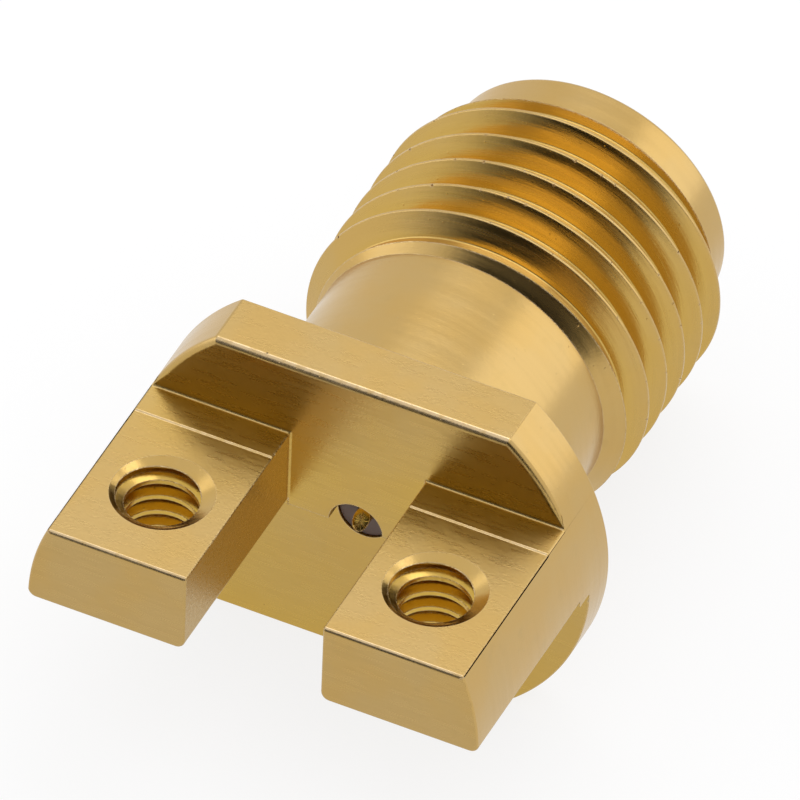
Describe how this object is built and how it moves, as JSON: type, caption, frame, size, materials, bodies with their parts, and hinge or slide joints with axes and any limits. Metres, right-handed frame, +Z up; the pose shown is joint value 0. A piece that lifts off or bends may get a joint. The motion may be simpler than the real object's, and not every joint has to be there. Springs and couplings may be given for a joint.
{
  "type": "sma connector",
  "caption": "Female SMA coaxial jack for a board edge: threaded barrel, double-D flange and tapped legs.",
  "frame": {"origin": "on the connector's axis at the mating reference plane, the floor of the mating bore", "axes": "+Y along the axis towards the mating end, +Z up from the circuit board, +X to the right seen from the legs"},
  "size_m": [0.0084, 0.0131, 0.0064],
  "materials": {
    "gold_plate": "gold-plated brass, satin from tumbling, with fine tool marks",
    "ptfe": "turned PTFE, white and waxy"
  },
  "bodies": {
    "root": {"body": "gold_plate", "insulator": "ptfe", "center_contact": "gold_plate"}
  },
  "joints": []
}
